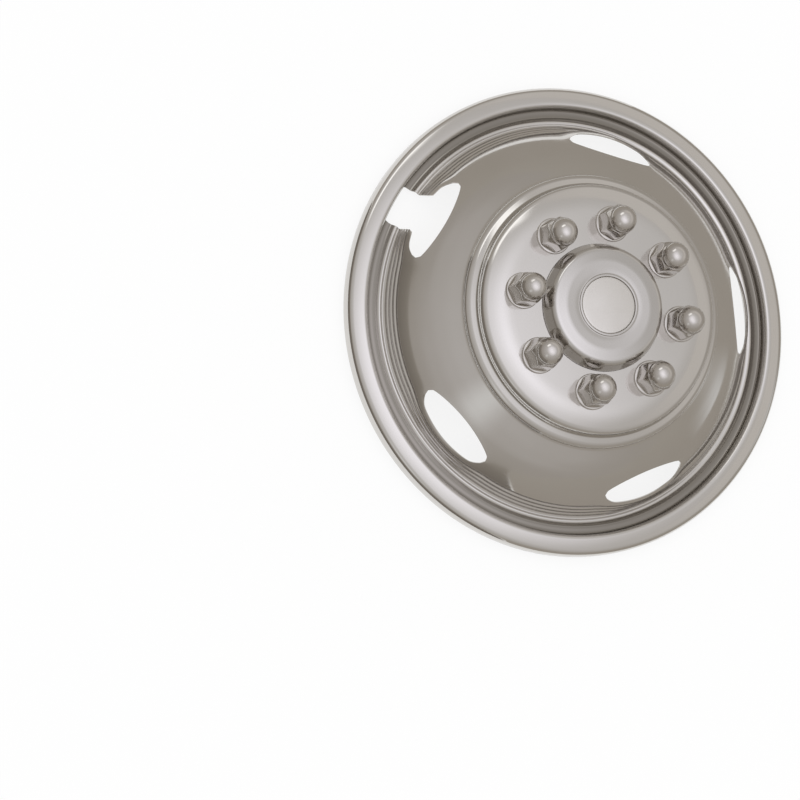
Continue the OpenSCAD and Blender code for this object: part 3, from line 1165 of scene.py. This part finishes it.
@dataclass
class Studio:
    """Pale floor, cards and softboxes, and a long lens at the photograph's angle.

    Attributes:
        tilt: angle between the camera's line of sight and the wheel's axis.
        lean: azimuth of the camera.
        roll: cosine and sine of the camera's turn about its line of sight.
        distance: from the rim's middle to the camera, in millimetres.
        px_per_mm: scale of the picture at the rim.
        edge_h: height of the rim's middle in millimetres.
        ring_px: where the rim's middle falls in the picture.
        frame_px: width of the picture.
        sensor_mm: width of the camera's sensor.
        floor_glow: share of plain white that the camera sees in the floor.
        floor_half: half of the floor's side in metres.
    """

    tilt: float = math.radians(25.27)
    lean: float = math.radians(142.89)
    roll: tuple[float, float] = (0.93302, 0.35984)
    distance: float = 4000.0
    px_per_mm: float = 1.0277
    edge_h: float = 8.0
    ring_px: tuple[float, float] = (568.0, 320.6)
    frame_px: float = 800.0
    sensor_mm: float = 36.0
    floor_glow: float = 0.82
    floor_half: float = 6.0

    def axes(self) -> tuple[Vector, Vector, Vector]:
        """The camera's right, up and back directions when it looks straight at the rim.

        Returns:
            Three unit vectors.
        """
        t, a = self.tilt, self.lean
        back = Vector((math.sin(t) * math.cos(a), math.sin(t) * math.sin(a), math.cos(t)))
        across = Vector((-math.cos(t) * math.cos(a), -math.cos(t) * math.sin(a), math.sin(t)))
        along = Vector((math.sin(a), -math.cos(a), 0))
        c, s = self.roll
        return across * c - along * s, across * s + along * c, back

    def camera(self) -> None:
        """Places the camera so that the rim's middle falls on its pixel."""
        right, up, back = self.axes()
        middle = Vector((0, 0, self.edge_h))
        dx = (self.ring_px[0] - self.frame_px / 2) / self.px_per_mm
        dy = (self.frame_px / 2 - self.ring_px[1]) / self.px_per_mm
        place = middle + back * self.distance
        aim = middle - right * dx - up * dy
        z = (place - aim).normalized()
        x = up.cross(z).normalized()
        y = z.cross(x)
        data = bpy.data.cameras.new("camera")
        data.sensor_width = self.sensor_mm
        data.lens = self.px_per_mm * (place - aim).length * self.sensor_mm / self.frame_px
        data.clip_start, data.clip_end = 0.1, 100.0
        cam = bpy.data.objects.new("camera", data)
        turn = Matrix((x, y, z)).transposed().to_4x4()
        cam.matrix_world = Matrix.Translation(place * MM) @ turn
        bpy.context.scene.collection.objects.link(cam)
        bpy.context.scene.camera = cam

    def floor(self) -> None:
        """A wide pale floor that shows white and keeps the object's shadow."""
        mat, tree, out = new_material("painted_floor")
        paint = add_node(tree, "ShaderNodeBsdfPrincipled", None,
                         {"Base Color": srgb("#FAFAFA"), "Roughness": 0.9})
        white = add_node(tree, "ShaderNodeEmission", None,
                         {"Color": srgb("#FFFFFF"), "Strength": 1.0})
        path = add_node(tree, "ShaderNodeLightPath").outputs
        seen = maths(tree, Sum.LARGER, path["Is Camera Ray"], path["Is Glossy Ray"])
        shown = maths(tree, Sum.LARGER, seen, path["Is Transmission Ray"])
        mix = add_node(tree, "ShaderNodeMixShader", None,
                       {0: maths(tree, Sum.TIMES, shown, self.floor_glow),
                        1: paint.outputs[0], 2: white.outputs[0]})
        tree.links.new(mix.outputs[0], out.inputs["Surface"])
        half = self.floor_half
        corners = np.array([(-half, -half, 0), (half, -half, 0), (half, half, 0), (-half, half, 0)])
        stage_piece("floor", corners, np.array([(0, 1, 2, 3)]), mat)

    def screen(self, card: Card, profile: Sequence[tuple[float, float]], start: float,
               end: float) -> None:
        """Stands a curved card round the object.

        Args:
            card: the card.
            profile: radius and height of its rows in metres.
            start: the azimuth it starts at, in degrees.
            end: the azimuth it ends at.
        """
        ang = np.radians(np.linspace(start, end, max(3, int((end - start) / 5) + 1)))
        line = np.array(profile)
        card.build(len(line), len(ang), around(line[:, :1], ang, line[:, 1:]))

    def panel(self, card: Card, middle: Vector, size: tuple[float, float], turn: float) -> None:
        """Hangs a flat softbox that looks down.

        Args:
            card: the softbox.
            middle: its middle in metres.
            size: its two sides in metres.
            turn: the azimuth of its first side, in degrees.
        """
        c, s = math.cos(math.radians(turn)), math.sin(math.radians(turn))
        u = np.array([c, s, 0]) * size[0] / 2
        v = np.array([-s, c, 0]) * size[1] / 2
        m = np.array(middle)
        card.build(2, 2, np.array([m - u - v, m + u - v, m - u + v, m + u + v]))

    def cards(self) -> None:
        """Stands the tent, the low cards and the softboxes round the object."""
        self.screen(Card("tent", "#B0ABA5", "#E6E5E6"),
                    [(0.5, 0.15), (1.2, 0.6), (1.5, 1.3), (1.2, 1.9), (0.6, 2.2), (0.02, 2.3)],
                    0, 360)
        self.screen(Card("right_softbox", "#D6D2CE", "#D6D2CE", 1.0, 0.3),
                    [(1.0, 0.38), (0.9, 1.1)], 245, 415)
        self.screen(Card("far_card", "#ACA69E", "#B2ADA5"), [(0.27, 0.014), (0.5, 0.15)], 196, 450)
        self.screen(Card("near_card", "#7F7972", "#9A948C"), [(0.27, 0.002), (0.5, 0.15)], 90, 196)
        self.screen(Card("foot_card", "#A7A199", "#ACA69E"), [(0.262, 0.002), (0.27, 0.014)],
                    196, 370)
        self.panel(Card("overhead_softbox", "#F4F3FA", "#F4F3FA", 1.4, 0.5),
                   Vector((-0.05, -0.01, 0.69)), (0.9, 1.15), 150)
        self.screen(Card("side_softbox", "#FFFFFF", "#FFFFFF", 1.5, 0.25),
                    [(0.92, 0.8), (0.72, 1.08)], 30, 80)
        self.screen(Card("strip_softbox", "#FFFFFF", "#FFFFFF", 0.8, 0.5),
                    [(0.9, 0.25), (0.8, 1.1)], 152, 186)
        self.screen(Card("floor_softbox", "#FFFFFF", "#FFFFFF", 0.75, 0.5),
                    [(0.28, -0.03), (0.3, 0.08)], 264, 300)

    def world(self) -> None:
        """A plain white room all round, which lights the object evenly."""
        world = bpy.data.worlds.new("room")
        bpy.context.scene.world = world
        world.use_nodes = True
        tree = world.node_tree
        tree.nodes.clear()
        out = tree.nodes.new("ShaderNodeOutputWorld")
        back = add_node(tree, "ShaderNodeBackground", None,
                        {"Color": srgb("#FFFFFF"), "Strength": 1.0})
        tree.links.new(back.outputs[0], out.inputs["Surface"])

    def build(self) -> None:
        """Makes the whole studio."""
        self.camera()
        self.floor()
        self.cards()
        self.world()
        scene = bpy.context.scene
        scene.view_settings.view_transform = "Standard"


def main() -> None:
    """Builds the studio and every piece in order."""
    logging.basicConfig(level=logging.INFO, format="%(message)s")
    Studio().build()
    low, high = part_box("wheel_liner")
    rim_r, disc_h = (high[0] - low[0]) / 2 / MM, high[2] / MM
    WheelLiner(LINER_STEEL, rim_r=rim_r, disc_h=disc_h).build()
    LOG.info("wheel liner made")
    HubCover(HUB_STEEL, PLATE_ALUMINIUM, disc_h=disc_h).build()
    LOG.info("hub cover and plate made")
    LugCovers(COVER_CHROME, disc_h=disc_h).build()
    LOG.info("lug covers made")
    RetainingRings(RING_STEEL).build()
    LOG.info("retaining rings dressed")


if __name__ == "__main__":
    main()
